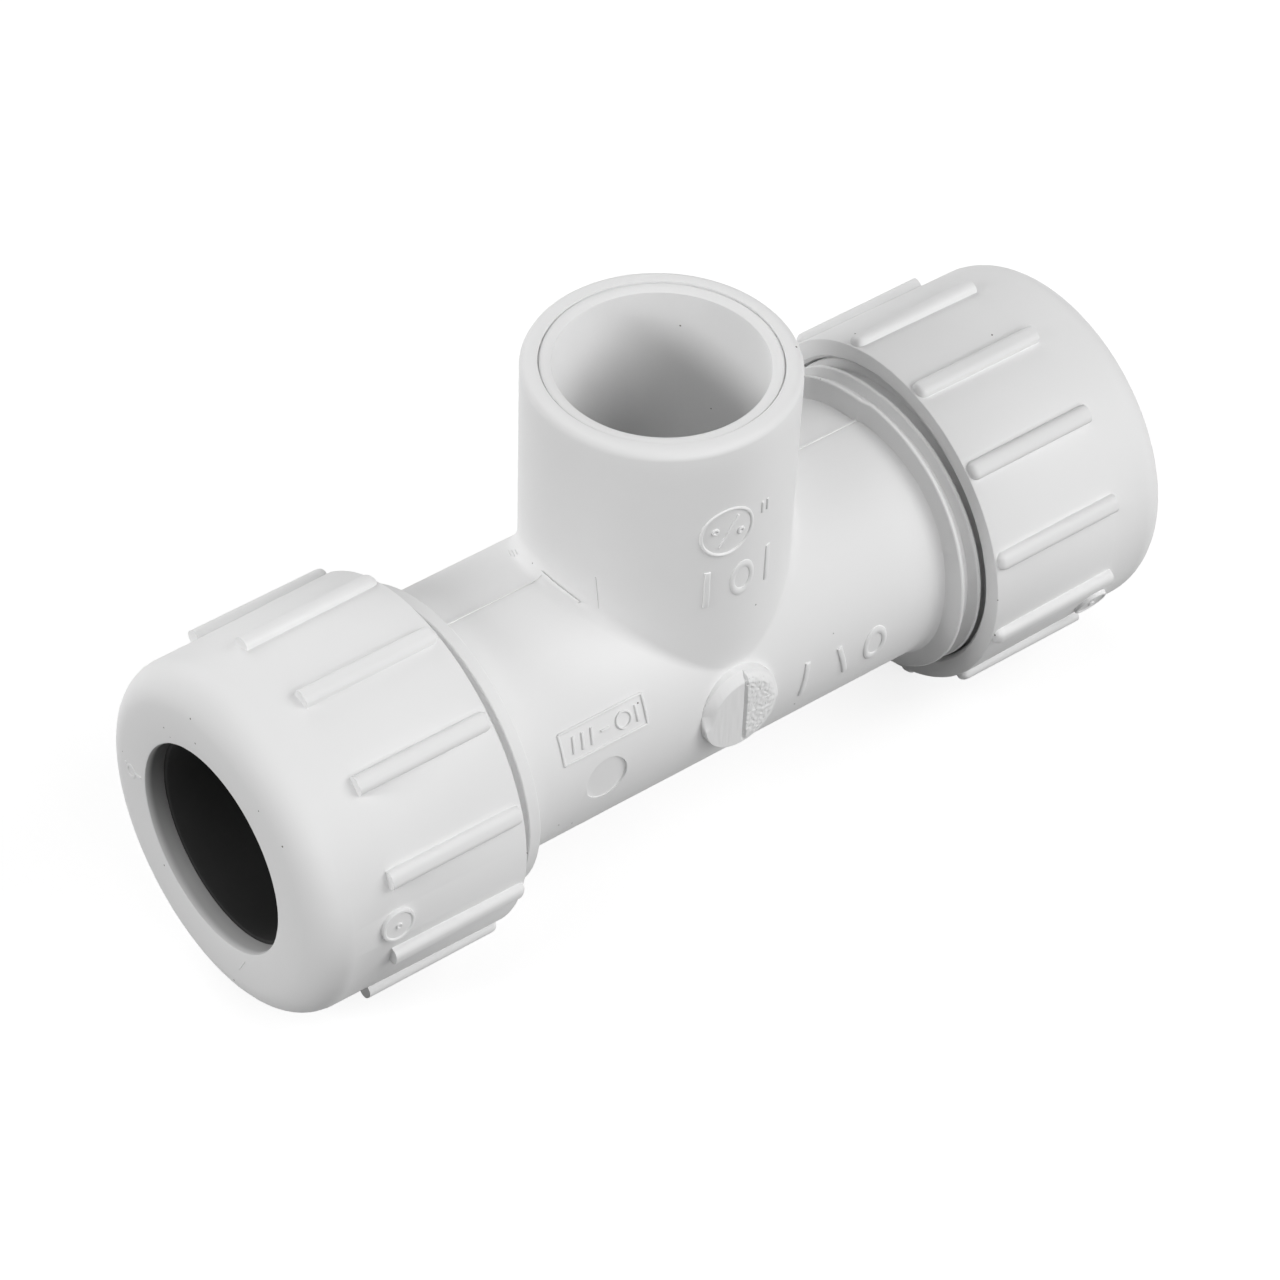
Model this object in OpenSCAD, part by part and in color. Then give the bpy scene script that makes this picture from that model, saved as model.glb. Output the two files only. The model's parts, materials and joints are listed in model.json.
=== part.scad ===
// Compression tee for 3/4 inch pipe: a moulded body with a nut and a gasket at each end
// of the run, and a plain socket on the branch. It stands on its nuts with the run along X
// and the branch up. The origin is on the surface, under the crossing of the two axes.

/* [Pipe] */
// Outside diameter of the pipe that the fitting takes
pipe_od = 26.67; // [20:0.01:30]

/* [Run] */
// Length of the body from mouth to mouth
body_len = 116; // [108:1:130]
// Clearance in diameter between the pipe and the run sockets
run_slack = 0.73; // [0.4:0.01:1]
// Thickness of the run tube's wall
run_wall = 4.4; // [3.8:0.05:4.8]
// Distance from the centre to each pipe stop in the run
run_stop_at = 19.5; // [14:0.5:22]
// Bore of the waterway along the run
waterway_d = 22; // [16:0.5:24]
// Length of the flare at each end of the run tube
flare_len = 1.9; // [1.5:0.1:2]
// Diameter of the round gate stub on the front of the run
stub_d = 11.5; // [8:0.1:14]
// How far the stub's flat end stands out of the run tube
stub_h = 0.9; // [0.3:0.1:1.4]
// Place of the stub along the run
stub_at = -0.2; // [-3:0.1:3]
// Height of the stub's middle above the run axis
stub_rise = 0.3; // [-3:0.1:3]

/* [Branch] */
// Height of the branch's top face above the run axis
branch_top = 44.1; // [38:0.1:50]
// Clearance in diameter between the pipe and the branch socket
branch_slack = 0.23; // [0.1:0.01:0.5]
// Thickness of the branch's wall at its top
branch_wall = 3.9; // [3.4:0.05:4.3]
// How much narrower the branch is where it meets the run
branch_taper = 0.7; // [0:0.1:1.2]
// Radius of the rounding between the branch and the run
corner_r = 2; // [1:0.1:3]
// Depth of the branch socket
socket_depth = 25.8; // [20:0.1:27]
// Bore of the waterway below the branch socket
branch_way_d = 21.4; // [15:0.1:21.8]
// Width of the lead-in ring round the socket
lead_in_w = 1.5; // [0.5:0.1:2]
// Depth of the lead-in ring at its inner edge
lead_in_depth = 0.5; // [0.2:0.1:1.5]
// Radius of the branch's outer rim
rim_r = 1.1; // [0.3:0.1:1.5]

/* [Thread] */
// Pitch of the nut thread
pitch = 2.82; // [2.4:0.01:3.2]
// Thickness of the body's wall under the thread at each mouth
mouth_wall = 1.93; // [1.6:0.01:2.3]
// Depth of the thread
thread_depth = 1.45; // [1:0.05:1.7]
// Width of the flat on each crest and each root
thread_flat = 0.45; // [0.3:0.05:0.6]
// Length of the thread at each end of the body
thread_len = 25.6; // [24:0.1:27]
// Distance from the right thread's start to its first crest at the front of the body
right_crest = 1.7; // [0.5:0.1:2.5]
// Distance from the left thread's start to its first crest at the front of the body
left_crest = 1.35; // [0.5:0.05:2.5]
// Play between the two threads
thread_play = 0.27; // [0.2:0.01:0.35]
// Flat facets in one turn of thread
turn_facets = 40; // [32:4:48]

/* [Nuts] */
// Length of each nut
nut_len = 30.1; // [29:0.1:32]
// Thickness of the nut's skirt outside its thread
skirt_wall = 2.75; // [2.4:0.05:3.8]
// How much narrower the skirt is at its front
skirt_taper = 0.66; // [0:0.02:1.2]
// Radius of the rounding between the skirt and the front face
nose_r = 4.7; // [3:0.1:6]
// Clearance in diameter between the pipe and the hole in the front face
hole_slack = 1.39; // [1:0.01:1.9]
// Thickness of the front face
face_wall = 2.8; // [2:0.1:3.5]
// Turns of thread in the nut
nut_turns = 4; // [3:1:5]
// How much wider the gasket's pocket is than the seat
pocket_extra = 1.6; // [1.2:0.1:2.4]
// Depth of the gasket pocket behind the front face
pocket_len = 4.8; // [3:0.1:6]
// Distance from the mouth to the inside of the nut's front face when the nut is hand tight
face_out = 5.3; // [4.8:0.1:6]
// How far the nuts are backed off from hand tight
backed_off = 1.35; // [0:0.05:2]

/* [Grip ribs] */
// Number of ribs on each nut
ribs = 12; // [8:1:16]
// Length of each rib
rib_len = 19.9; // [12:0.1:22]
// Width of each rib
rib_w = 2.4; // [1.6:0.1:3]
// How far the ribs stand out of the skirt at its open end
rib_h = 1; // [0.5:0.1:1.1]
// Angle from straight up to the nearest rib, towards the front
rib_clock = 12; // [0:1:29]
// Distance from the nut's open end to its round gate mark
gate_at = 19.3; // [12:0.1:22]
// Angle from straight up to the right nut's gate mark, towards the front
right_gate_clock = 117; // [0:1:359]
// Angle from straight up to the left nut's gate mark, towards the front
left_gate_clock = 87; // [0:1:359]
// Diameter of the round gate mark on each nut
gate_d = 3.6; // [2:0.1:5]
// How far the gate mark stands out
gate_h = 0.7; // [0.3:0.1:1.2]

/* [Gaskets] */
// Clearance in diameter between the pipe and the gasket
gasket_slack = 0.4; // [0.2:0.01:0.8]
// Clearance in diameter between the gasket and its pocket
pocket_slack = 0.6; // [0.4:0.1:1]
// Thickness of the gasket's nose at its tip
nose_wall = 0.8; // [0.6:0.1:2]
// Half angle of the seat that the gasket's nose goes into
seat_angle = 20; // [16:1:40]
// Width of the seat at the body's mouth
seat_w = 3.7; // [3:0.1:4]
// Gap between the gasket and its seat when the nut is hand tight
seat_gap = 0.3; // [0.2:0.05:0.5]

/* [Hidden] */
$fn = 96;
over = 1;                                   // how far a cut runs past the surface it opens
mouth = body_len / 2;                       // distance from the centre to each mouth
run_socket_r = (pipe_od + run_slack) / 2;
run_r = run_socket_r + run_wall;
seat_r = run_socket_r + seat_w;
seat_len = seat_w / tan(seat_angle);
core_r = seat_r + mouth_wall;
crest_r = core_r + thread_depth;
thread_from = mouth - thread_len;
flare_lap = 0.4;                            // how far the flare reaches past the thread's start
flare_at = thread_from + flare_lap - flare_len;
flank_w = (pitch - 2 * thread_flat) / 2;    // length along the axis of one thread flank
socket_r = (pipe_od + branch_slack) / 2;
branch_r = socket_r + branch_wall;
root_r = branch_r - branch_taper / 2;       // the branch where it meets the run
taper_from = run_r / 2;                     // height above the run axis where the branch starts to widen
sink = 0.05;                                // how far the corner's rounding runs into the tubes
corner_facets = 72;
mouth_chamfer = 1;                          // chamfer on the first turn of thread
flare_r = core_r + 0.12;                    // the flare ends just above the thread's root
lead_out = 0.5;                             // chamfer at the nut's open end
thread_room = 0.5;                          // from the nut's open end to its thread
clear_r = crest_r + thread_play + 0.1;      // bore of the nut beyond its thread
pocket_at = nut_len - face_wall - pocket_len;
pocket_r = seat_r + pocket_extra / 2;
skirt_r = clear_r + skirt_wall;             // at the nut's open end
front_r = skirt_r - skirt_taper / 2;
rib_r = rib_w / 2;
rib_axis_r = skirt_r + rib_h - rib_r;       // from the run axis to the middle of a rib's round
run_z = rib_r - rib_axis_r * min([for (i = [0 : ribs - 1]) cos(rib_clock + 360 * i / ribs)]);
nut_home = mouth + face_out + face_wall - nut_len;
nut_at = nut_home + backed_off;             // distance from the centre to a nut's open end
gasket_r = pocket_r - pocket_slack / 2;
gasket_bore_r = (pipe_od + gasket_slack) / 2;
face_gap = 0.05;                            // between the gasket and the nut's front face
seat_end = mouth - seat_len;                // where the seat reaches the run socket
skin = "whitesmoke";
rubber = "#2b2b2b";

// Points along a quarter circle about c, from angle a to angle b
function arc(c, r, a, b, n = 8) = [for (i = [0 : n]) let (t = a + (b - a) * i / n)
    c + r * [cos(t), sin(t)]];

// Turns a profile of [radius, place along the run] about the run axis, towards +X
module about_run() rotate([0, 90, 0]) rotate_extrude() children();

// Puts the right-hand end of the run at the given end: 1 is the right, -1 the left
module at_end(end) rotate([0, 0, end > 0 ? 0 : 180]) children();

// Lifts a piece from the run axis to its height above the surface
module stood() translate([0, 0, run_z]) children();

// Angle of a point at the front of the body, seen from the given end of the run
function front_angle(end) = end > 0 ? 270 : 90;

// Place of the thread's crest at angle 0 of a screw on the given end of the run
function crest_start(end) = thread_from + (end > 0 ? right_crest : left_crest)
    - pitch * front_angle(end) / 360;

// One point of the screw: step k of the spiral, corner j of the ridge from -Z to +Z
function screw_point(k, j, zero, core, crest, flat) = let (
        a = 360 * k / turn_facets,
        side = (j < 2 ? -1 : 1),
        out = (j == 1 || j == 2),
        r = out ? crest : core,
        z = zero + pitch * k / turn_facets + side * (flat / 2 + (out ? 0 : flank_w)))
    [r * cos(a), r * sin(a), z];

// A right-handed screw along Z with a ridge of four corners, closed to its axis at both ends
module screw(turns, zero, core, crest, flat) {
    n = turn_facets;
    last = n * turns;
    corners = [for (k = [0 : last]) for (j = [0 : 3]) screw_point(k, j, zero, core, crest, flat)];
    foot = len(corners);
    low = [0, 0, corners[0][2] - over];
    high = [0, 0, corners[len(corners) - 1][2] + over];
    ridge = [for (k = [0 : last - 1]) for (j = [0 : 2])
        let (p = 4 * k + j) each [[p, p + 1, p + 5], [p, p + 5, p + 4]]];
    root = [for (k = [0 : last - n - 1])
        let (p = 4 * k + 3, q = 4 * (k + n)) each [[p, q, q + 4], [p, q + 4, p + 4]]];
    low_edge = concat([for (k = [0 : n]) 4 * k], [3, 2, 1, 0]);
    top = last - n;
    high_edge = concat([for (k = [top : last]) 4 * k + 3],
        [4 * last + 2, 4 * last + 1, 4 * last, 4 * top + 3]);
    low_cap = [for (i = [0 : len(low_edge) - 2]) [foot, low_edge[i], low_edge[i + 1]]];
    high_cap = [for (i = [0 : len(high_edge) - 2]) [foot + 1, high_edge[i + 1], high_edge[i]]];
    polyhedron(concat(corners, [low, high]), concat(ridge, root, low_cap, high_cap));
}

// The screw of one end of the run, long enough to cover from..to
module run_screw(end, from, to, core, crest, flat) {
    start = crest_start(end);
    zero = start + (floor((from - start) / pitch) - 1) * pitch;
    turns = ceil((to - zero - flat / 2 - flank_w) / pitch) + 1;
    rotate([0, 90, 0]) screw(turns, zero, core, crest, flat);
}

// Outside of one half of the run, from the centre to the mouth
module half_run(end) {
    about_run() polygon(concat([[0, 0], [run_r, 0], [run_r, flare_at]],
        [for (i = [1 : 6]) let (t = 90 * i / 6)
            [run_r + (flare_r - run_r) * (1 - cos(t)), flare_at + flare_len * sin(t)]],
        [[0, flare_at + flare_len]]));
    intersection() {
        run_screw(end, thread_from, mouth, core_r, crest_r, thread_flat);
        about_run() polygon([[0, thread_from], [crest_r + over, thread_from],
            [crest_r + over, mouth - mouth_chamfer - over], [crest_r - mouth_chamfer, mouth],
            [0, mouth]]);
    }
}

// Outside of the branch, a little narrower where it meets the run
module branch() {
    rotate_extrude() polygon(concat([[0, 0], [root_r, 0], [root_r, taper_from]],
        arc([branch_r - rim_r, branch_top - rim_r], rim_r, 0, 90, 6), [[0, branch_top]]));
}

// Radius of the branch at height z above the run axis
function branch_at(z) = root_r + (branch_r - root_r) * max(0, z - taper_from)
    / (branch_top - rim_r - taper_from);

// Height of a ball that touches the run, with its middle at distance d from the branch's axis
function ball_z(a, d) = sqrt(pow(run_r + corner_r, 2) - pow(d * sin(a), 2));

// Middle of the ball that rolls round the corner between the branch and the run
function ball(a) = let (
        rough = ball_z(a, root_r + corner_r),
        d = branch_at(rough) + corner_r)
    [d * cos(a), d * sin(a), ball_z(a, d)];

// Points of the rounding at angle a: one deep inside, then an arc from the branch to the run
function corner_points(a) = let (
        c = ball(a),
        to_branch = [-cos(a), -sin(a), 0],
        to_run = -[0, c[1], c[2]] / norm([0, c[1], c[2]]),
        span = acos(to_branch * to_run),
        deep_r = root_r - 1,
        r = corner_r + sink)
    concat([[deep_r * cos(a), deep_r * sin(a), sqrt(pow(run_r - 1, 2) - pow(deep_r * sin(a), 2))]],
        [for (i = [0 : 5]) let (t = span * i / 5)
            c + r * (sin(span - t) * to_branch + sin(t) * to_run) / sin(span)]);

// The rounded corner between the branch and the run
module corner() {
    n = 7;
    points = [for (k = [0 : corner_facets - 1]) each corner_points(360 * k / corner_facets)];
    polyhedron(points, [for (k = [0 : corner_facets - 1]) for (j = [0 : n - 1]) let (
            p = n * k + j, q = n * k + (j + 1) % n,
            r = (p + n) % len(points), s = (q + n) % len(points))
        each [[p, s, q], [p, r, s]]]);
}

// Round flat stub on the front of the run, where the mould's gate was cut off
module stub() translate([stub_at, 0, stub_rise]) rotate([90, 0, 0])
    cylinder(d = stub_d, h = run_r + stub_h);

// Everything that is hollow in the body: pipe sockets, seats and waterways
module body_bores() {
    for (end = [1, -1]) at_end(end) about_run() polygon([[0, -over], [waterway_d / 2, -over],
        [waterway_d / 2, run_stop_at], [run_socket_r, run_stop_at], [run_socket_r, seat_end],
        [seat_r + over * tan(seat_angle), mouth + over], [0, mouth + over]]);
    rotate_extrude() polygon([[0, 0], [branch_way_d / 2, 0],
        [branch_way_d / 2, branch_top - socket_depth], [socket_r, branch_top - socket_depth],
        [socket_r, branch_top - lead_in_depth], [socket_r + lead_in_w, branch_top - 0.1],
        [socket_r + lead_in_w, branch_top + over], [0, branch_top + over]]);
}

module tee_body() {
    color(skin) stood() difference() {
        union() {
            at_end(1) half_run(1);
            at_end(-1) half_run(-1);
            branch();
            corner();
            stub();
        }
        body_bores();
    }
}

// One grip rib, lying along X on the skirt with its rear end at the nut's open end
module rib() {
    r = rib_r;
    translate([0, 0, rib_axis_r]) rotate([0, 90, 0]) rotate_extrude($fn = 32)
        polygon(concat([[0, 0]], arc([r / 3, 2 * r / 3], 2 * r / 3, -90, 0, 4),
            [[r, rib_len - r / 4], [3 * r / 4, rib_len], [0, rib_len]]));
}

// The nut of one end, with its open end at X = 0 and its front face at +X
module nut(end) {
    gate_clock = end > 0 ? right_gate_clock : left_gate_clock;
    thread_end = thread_room + nut_turns * pitch;
    hole_r = (pipe_od + hole_slack) / 2;
    difference() {
        union() {
            about_run() polygon(concat([[0, 0], [skirt_r, 0]],
                arc([front_r - nose_r, nut_len - nose_r], nose_r, 0, 90, 10), [[0, nut_len]]));
            for (i = [0 : ribs - 1]) rotate([end * rib_clock + 360 * i / ribs, 0, 0]) rib();
            rotate([end * gate_clock, 0, 0]) translate([gate_at, 0, 0])
                cylinder(d = gate_d, h = front_r + gate_h);
        }
        intersection() {
            translate([-nut_at, 0, 0]) run_screw(end, nut_at - over, nut_at + thread_end,
                core_r + thread_play, crest_r + thread_play, thread_flat + thread_play);
            about_run() polygon([[0, -over], [clear_r + over, -over],
                [clear_r + over, thread_end], [0, thread_end]]);
        }
        about_run() polygon([[0, -over], [clear_r + lead_out + over, -over],
            [clear_r, lead_out], [0, lead_out]]);
        about_run() polygon([[0, thread_end - 0.3], [clear_r, thread_end - 0.3],
            [clear_r, pocket_at], [pocket_r, pocket_at], [pocket_r, nut_len - face_wall],
            [hole_r, nut_len - face_wall], [hole_r, nut_len + over], [0, nut_len + over]]);
    }
}

module left_nut() color(skin) stood() at_end(-1) translate([nut_at, 0, 0]) nut(-1);

module right_nut() color(skin) stood() at_end(1) translate([nut_at, 0, 0]) nut(1);

// The right-hand gasket, with its nose in the body's seat and its back against the nut's face
module gasket() {
    back = nut_at + nut_len - face_wall - face_gap;
    tip_r = gasket_bore_r + nose_wall;
    seat_at = seat_end + seat_gap + backed_off;
    tip = seat_at + (tip_r - run_socket_r) / tan(seat_angle);
    shoulder = seat_at + (gasket_r - run_socket_r) / tan(seat_angle);
    edge = 0.6;
    about_run() polygon([[gasket_bore_r, tip], [tip_r, tip], [gasket_r, shoulder],
        [gasket_r, back - edge], [gasket_r - edge, back], [gasket_bore_r, back]]);
}

module left_gasket() color(rubber) stood() at_end(-1) gasket();

module right_gasket() color(rubber) stood() at_end(1) gasket();

tee_body();
left_nut();
right_nut();
left_gasket();
right_gasket();
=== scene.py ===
import json
from math import atan2, ceil, copysign, cos, degrees, hypot, pi, radians, sin, sqrt, tan

import bmesh
import bpy
from mathutils import Matrix, Vector, noise


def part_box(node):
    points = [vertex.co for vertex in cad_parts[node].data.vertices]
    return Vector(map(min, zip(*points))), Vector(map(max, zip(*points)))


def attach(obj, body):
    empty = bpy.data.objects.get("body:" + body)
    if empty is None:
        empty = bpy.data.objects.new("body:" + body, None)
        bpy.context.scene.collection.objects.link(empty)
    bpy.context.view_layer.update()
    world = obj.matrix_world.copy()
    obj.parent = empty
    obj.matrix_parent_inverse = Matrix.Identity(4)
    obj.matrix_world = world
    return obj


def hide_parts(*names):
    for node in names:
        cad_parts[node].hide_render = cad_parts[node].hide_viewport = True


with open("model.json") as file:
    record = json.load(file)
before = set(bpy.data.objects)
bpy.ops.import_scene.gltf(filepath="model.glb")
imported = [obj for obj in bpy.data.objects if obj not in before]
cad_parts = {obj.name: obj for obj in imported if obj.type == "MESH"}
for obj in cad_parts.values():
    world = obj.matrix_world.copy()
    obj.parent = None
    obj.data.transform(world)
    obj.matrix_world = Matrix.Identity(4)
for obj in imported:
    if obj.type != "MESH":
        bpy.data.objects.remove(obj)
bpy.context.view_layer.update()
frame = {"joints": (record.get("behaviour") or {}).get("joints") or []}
print("frame loaded")

# Places are worked out in millimetres from the crossing of the run's axis and the branch's axis
mm = 0.001
axisHeight = next(j["pos_m"][2] for j in frame["joints"] if j["name"] == "left_nut_turn")
bodyLow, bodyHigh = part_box("tee_body")
nutLow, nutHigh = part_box("right_nut")
gasketLow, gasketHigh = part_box("right_gasket")


def fromCrossing(x, y, z):
    return Vector((x * mm, y * mm, z * mm + axisHeight))


def onRun(x, radius, turn):    # turn is in degrees, from straight up towards the back
    return fromCrossing(x, radius * sin(radians(turn)), radius * cos(radians(turn)))


def onBranch(radius, turn, z):    # turn is in degrees, from the right towards the back
    return fromCrossing(radius * cos(radians(turn)), radius * sin(radians(turn)), z)


def selectOnly(*pieces):
    bpy.ops.object.select_all(action="DESELECT")
    for piece in pieces:
        piece.select_set(True)
    bpy.context.view_layer.objects.active = pieces[0]


def editMesh():
    return bmesh.from_edit_mesh(bpy.context.object.data)


def showEdit():
    bmesh.update_edit_mesh(bpy.context.object.data)


def setMode(mode):
    bpy.ops.object.mode_set(mode=mode)


def pick(kind, wanted):    # selects the vertices, edges or faces that a test picks
    mesh = editMesh()
    bpy.ops.mesh.select_mode(type=kind)
    bpy.ops.mesh.select_all(action="DESELECT")
    for part in {"VERT": mesh.verts, "EDGE": mesh.edges, "FACE": mesh.faces}[kind]:
        if wanted(part):
            part.select_set(True)
    if kind == "VERT":
        mesh.select_flush(True)
    showEdit()


def closeUp():    # merges what meets and turns all faces outwards
    bpy.ops.mesh.select_mode(type="VERT")
    bpy.ops.mesh.select_all(action="SELECT")
    bpy.ops.mesh.remove_doubles(threshold=0.002 * mm)
    bpy.ops.mesh.normals_make_consistent(inside=False)


def drawLine(name, points):    # one vertex, extruded from point to point
    bpy.ops.object.select_all(action="DESELECT")
    bpy.ops.mesh.primitive_plane_add(size=mm)
    piece = bpy.context.object
    piece.name = piece.data.name = name
    setMode("EDIT")
    bpy.ops.mesh.select_mode(type="VERT")
    bpy.ops.mesh.select_all(action="SELECT")
    bpy.ops.mesh.merge(type="CENTER")
    bpy.ops.transform.translate(value=points[0])
    for here, there in zip(points, points[1:]):
        bpy.ops.mesh.extrude_vertices_move(TRANSFORM_OT_translate={"value": there - here})
    return piece


def arc(x, radius, size, first, last, steps):    # points of a rounding in a turned profile
    turns = [radians(first + (last - first) * k / steps) for k in range(steps + 1)]
    return [(x + size * sin(t), radius + size * cos(t)) for t in turns]


def applyModifier(piece, kind, **values):
    selectOnly(piece)
    step = piece.modifiers.new(kind.lower(), kind)
    for key, value in values.items():
        setattr(step, key, value)
    bpy.ops.object.modifier_apply(modifier=step.name)


def combine(piece, other, operation):    # a boolean that uses up the other piece
    applyModifier(piece, "BOOLEAN", operation=operation, solver="EXACT", object=other)
    bpy.data.objects.remove(other)
    setMode("EDIT")
    bpy.ops.mesh.select_mode(type="VERT")
    bpy.ops.mesh.select_all(action="SELECT")
    bpy.ops.mesh.remove_doubles(threshold=0.001 * mm)
    bpy.ops.mesh.dissolve_degenerate(threshold=0.0005 * mm)
    bpy.ops.mesh.select_all(action="SELECT")
    bpy.ops.mesh.fill_holes(sides=12)
    setMode("OBJECT")


def joinTo(piece, others):    # joins small reliefs, each sunk a little in the wall
    selectOnly(piece, *others)
    bpy.ops.object.join()


def ribbon(name, points, across, thickness):    # a thin raised line along a path
    line = drawLine(name, points)
    bpy.ops.mesh.select_all(action="SELECT")
    bpy.ops.mesh.extrude_edges_move(TRANSFORM_OT_translate={"value": across})
    setMode("OBJECT")
    applyModifier(line, "SOLIDIFY", thickness=thickness * mm, offset=0)
    return line


def smooth(piece, angle):
    selectOnly(piece)
    bpy.ops.object.shade_smooth_by_angle(angle=radians(angle))


def turnAbout(piece, axis, angle):    # turns a whole piece about the crossing of the axes
    piece.data.transform(Matrix.Translation(fromCrossing(0, 0, 0))
                         @ Matrix.Rotation(radians(angle), 4, axis)
                         @ Matrix.Translation(-fromCrossing(0, 0, 0)))


# Thread: both nuts run on a right-handed screw of one pitch
threadSize = {
    "pitch": 2.82,
    "crest": (bodyHigh.y - bodyLow.y) / 2 / mm,    # radius of the crest
    "depth": 1.45,
    "flat": 0.45,
    "play": 0.27,
    "firstCrest": {1: 34.1, -1: 33.75},    # at the front of the body
    "frontProud": 0.1,    # how far the front half of the first turns stands proud
    "swells": ((0, 0.7, 132, 60), (1, -0.45, 85, 40), (1, 0.1, 150, 35)),    # turn, amount, place and reach
    "swellsTo": 240,    # degrees
    "setBack": 0.35,    # of the back half of the right end's first turn
    "setBackRun": 60,    # degrees over which it grows
    "broad": (-0.4, 0.75),    # how far the crest of the left end's first turn reaches out on both sides
    "broadRun": 40,
    "firstLean": 0.28,    # slope of the flank towards the tube
    "lean": 0.5,    # and of the other one
    "crestCut": (0.07, 0.11),    # how far the crest's corners are cut, along and down
    "sink": 0.3,    # how deep the first flank's foot is in the tube
    "rootSink": 0.2,
    "seam": 0.05,    # how far the mould line is from the middle
    "steps": 96,
}


def screwBar(name, end, points, shift, start, stop):    # one helical bar of whole turns between two places
    pitch = threadSize["pitch"]
    frontTurn = 270 if end > 0 else 90
    crest = threadSize["firstCrest"][end] - pitch * frontTurn / 360 + shift
    reach = [x for x, radius in points]
    zero = crest + ceil((start - min(reach) - crest) / pitch) * pitch
    bar = drawLine(name, [onRun(zero + x, radius, 180) for x, radius in points + points[:1]])
    bpy.ops.mesh.select_all(action="SELECT")
    bpy.ops.mesh.remove_doubles(threshold=0.002 * mm)
    setMode("OBJECT")
    # The screw turns about the object's own origin
    bar.data.transform(Matrix.Translation((0, 0, -axisHeight)))
    applyModifier(bar, "SCREW", axis="X", angle=2 * pi, screw_offset=pitch * mm, use_merge_vertices=False,
                  iterations=int((stop - max(reach) - zero) / pitch),
                  steps=threadSize["steps"], render_steps=threadSize["steps"])
    bar.data.transform(Matrix.Translation((0, 0, axisHeight)))
    setMode("EDIT")
    bpy.ops.mesh.select_all(action="SELECT")
    bpy.ops.mesh.fill_holes(sides=0)
    closeUp()
    setMode("OBJECT")
    return bar


# Body: one shell of quads. Its rings start inside, come up the socket, go over the rim,
# down the branch and round the run.
teeSize = {
    "runRadius": 18.1,
    "shellReach": 32.3,    # where the flare of the run starts
    "flareRound": 1.9,
    "flareTurn": 69.5,    # slope of the flare's end, in degrees
    "flareSteps": 7,
    "mouldStep": 0.16,    # how far the front half of the mould stands proud along the top
    "branchTop": (bodyHigh.z - axisHeight) / mm,
    "branchTopRadius": 17.35,
    "branchRootRadius": 17.0,
    "taperFoot": 9.05,
    "branchMouldStep": 0.03,
    "cornerRadius": 2.0,    # rounding between the branch and the run
    "rimRadius": 1.1,
    "socketRadius": 13.45,
    "socketDepth": 25.8,
    "socketRings": (12, 5),    # below the top
    "stopRound": 0.2,
    "leadInRadius": 14.95,
    "leadInDepth": 0.5,
    # How far out and how far down each ring of the groove is
    "leadInGroove": ((-0.1, 0.2), (-0.04, 0.22), (0, 0.42), (0.14, 0.42), (0.17, 0.02), (0.22, 0)),
    "branchWay": 10.7,
    "runWay": 11.0,
    "runStop": 19.5,
    "runSocket": 13.7,
    "mouth": bodyHigh.x / mm,
    "seatAngle": 20,
    "seatRadius": 17.4,
    "halfSteps": 128,    # quads round one half of the branch
    "endSteps": 96,    # and round each end of the run
    "insideRings": (0.8, 0.6, 0.4, 0.25, 0.1, 0),    # shares of the way in from the pipe stops
    "rimRings": 6,
    "branchRings": (4, 10, 16, 21),    # below the top
    "cornerRings": 8,
    "runRings": 24,
    "bunching": 1.2,    # crowds the rings towards the branch
}


def ringPlace(turn, reach):    # where on the run a line of quads ends: x, and degrees from the top
    t = teeSize
    corner = 90 * t["endSteps"] / t["halfSteps"]
    away = abs(turn)
    if away <= corner:
        return reach, copysign(180 * away / corner, turn)
    if away >= 180 - corner:
        return -reach, copysign(180 * (180 - away) / corner, turn)
    return reach * (90 - away) / (90 - corner), copysign(180, turn)


def branchRadius(z):
    t = teeSize
    share = (z - t["taperFoot"]) / (t["branchTop"] - t["taperFoot"])
    return t["branchRootRadius"] + (t["branchTopRadius"] - t["branchRootRadius"]) * min(1, max(0, share))


def runRadius(turn, around):    # the back half of the mould sits a little lower along the top
    low = teeSize["mouldStep"] * cos(radians(around / 2)) ** 2
    return teeSize["runRadius"] - (low if turn > 0 else 0)


def cornerBall(turn):    # centre of the ball that rolls between the branch and the run
    size = teeSize["cornerRadius"]
    z = around = 0
    for _ in range(3):
        reach = branchRadius(z) + size
        run = runRadius(turn, around) + size
        y = reach * sin(radians(turn))
        z = sqrt(run ** 2 - y ** 2)
        around = degrees(atan2(y, z))
    return Vector((reach * cos(radians(turn)), y, z))


def cornerPlace(turn, share):
    centre = cornerBall(turn)
    toBranch = Vector((-cos(radians(turn)), -sin(radians(turn)), 0))
    toRun = Vector((0, -centre.y, -centre.z)).normalized()
    return fromCrossing(*(centre + teeSize["cornerRadius"] * toBranch.slerp(toRun, share)))


def outsidePlace(turn, share):
    foot = cornerBall(turn)
    around = degrees(atan2(foot.y, foot.z))
    endX, endAround = ringPlace(turn, teeSize["shellReach"])
    around += (endAround - around) * share
    return onRun(foot.x + (endX - foot.x) * share, runRadius(turn, around), around)


def insidePlace(turn, share):
    way, run = teeSize["branchWay"], teeSize["runWay"]
    y = way * sin(radians(turn))
    around = degrees(atan2(y, sqrt(run ** 2 - y ** 2)))
    endX, endAround = ringPlace(turn, teeSize["runStop"])
    x = way * cos(radians(turn))
    return onRun(x + (endX - x) * share, run, around + (endAround - around) * share)


def layRing(place):    # lays the selected ring of vertices by each one's own turn
    mesh = editMesh()
    turns = mesh.verts.layers.float["turn"]
    for vert in mesh.verts:
        if vert.select:
            vert.co = place(vert[turns])
    showEdit()


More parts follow.
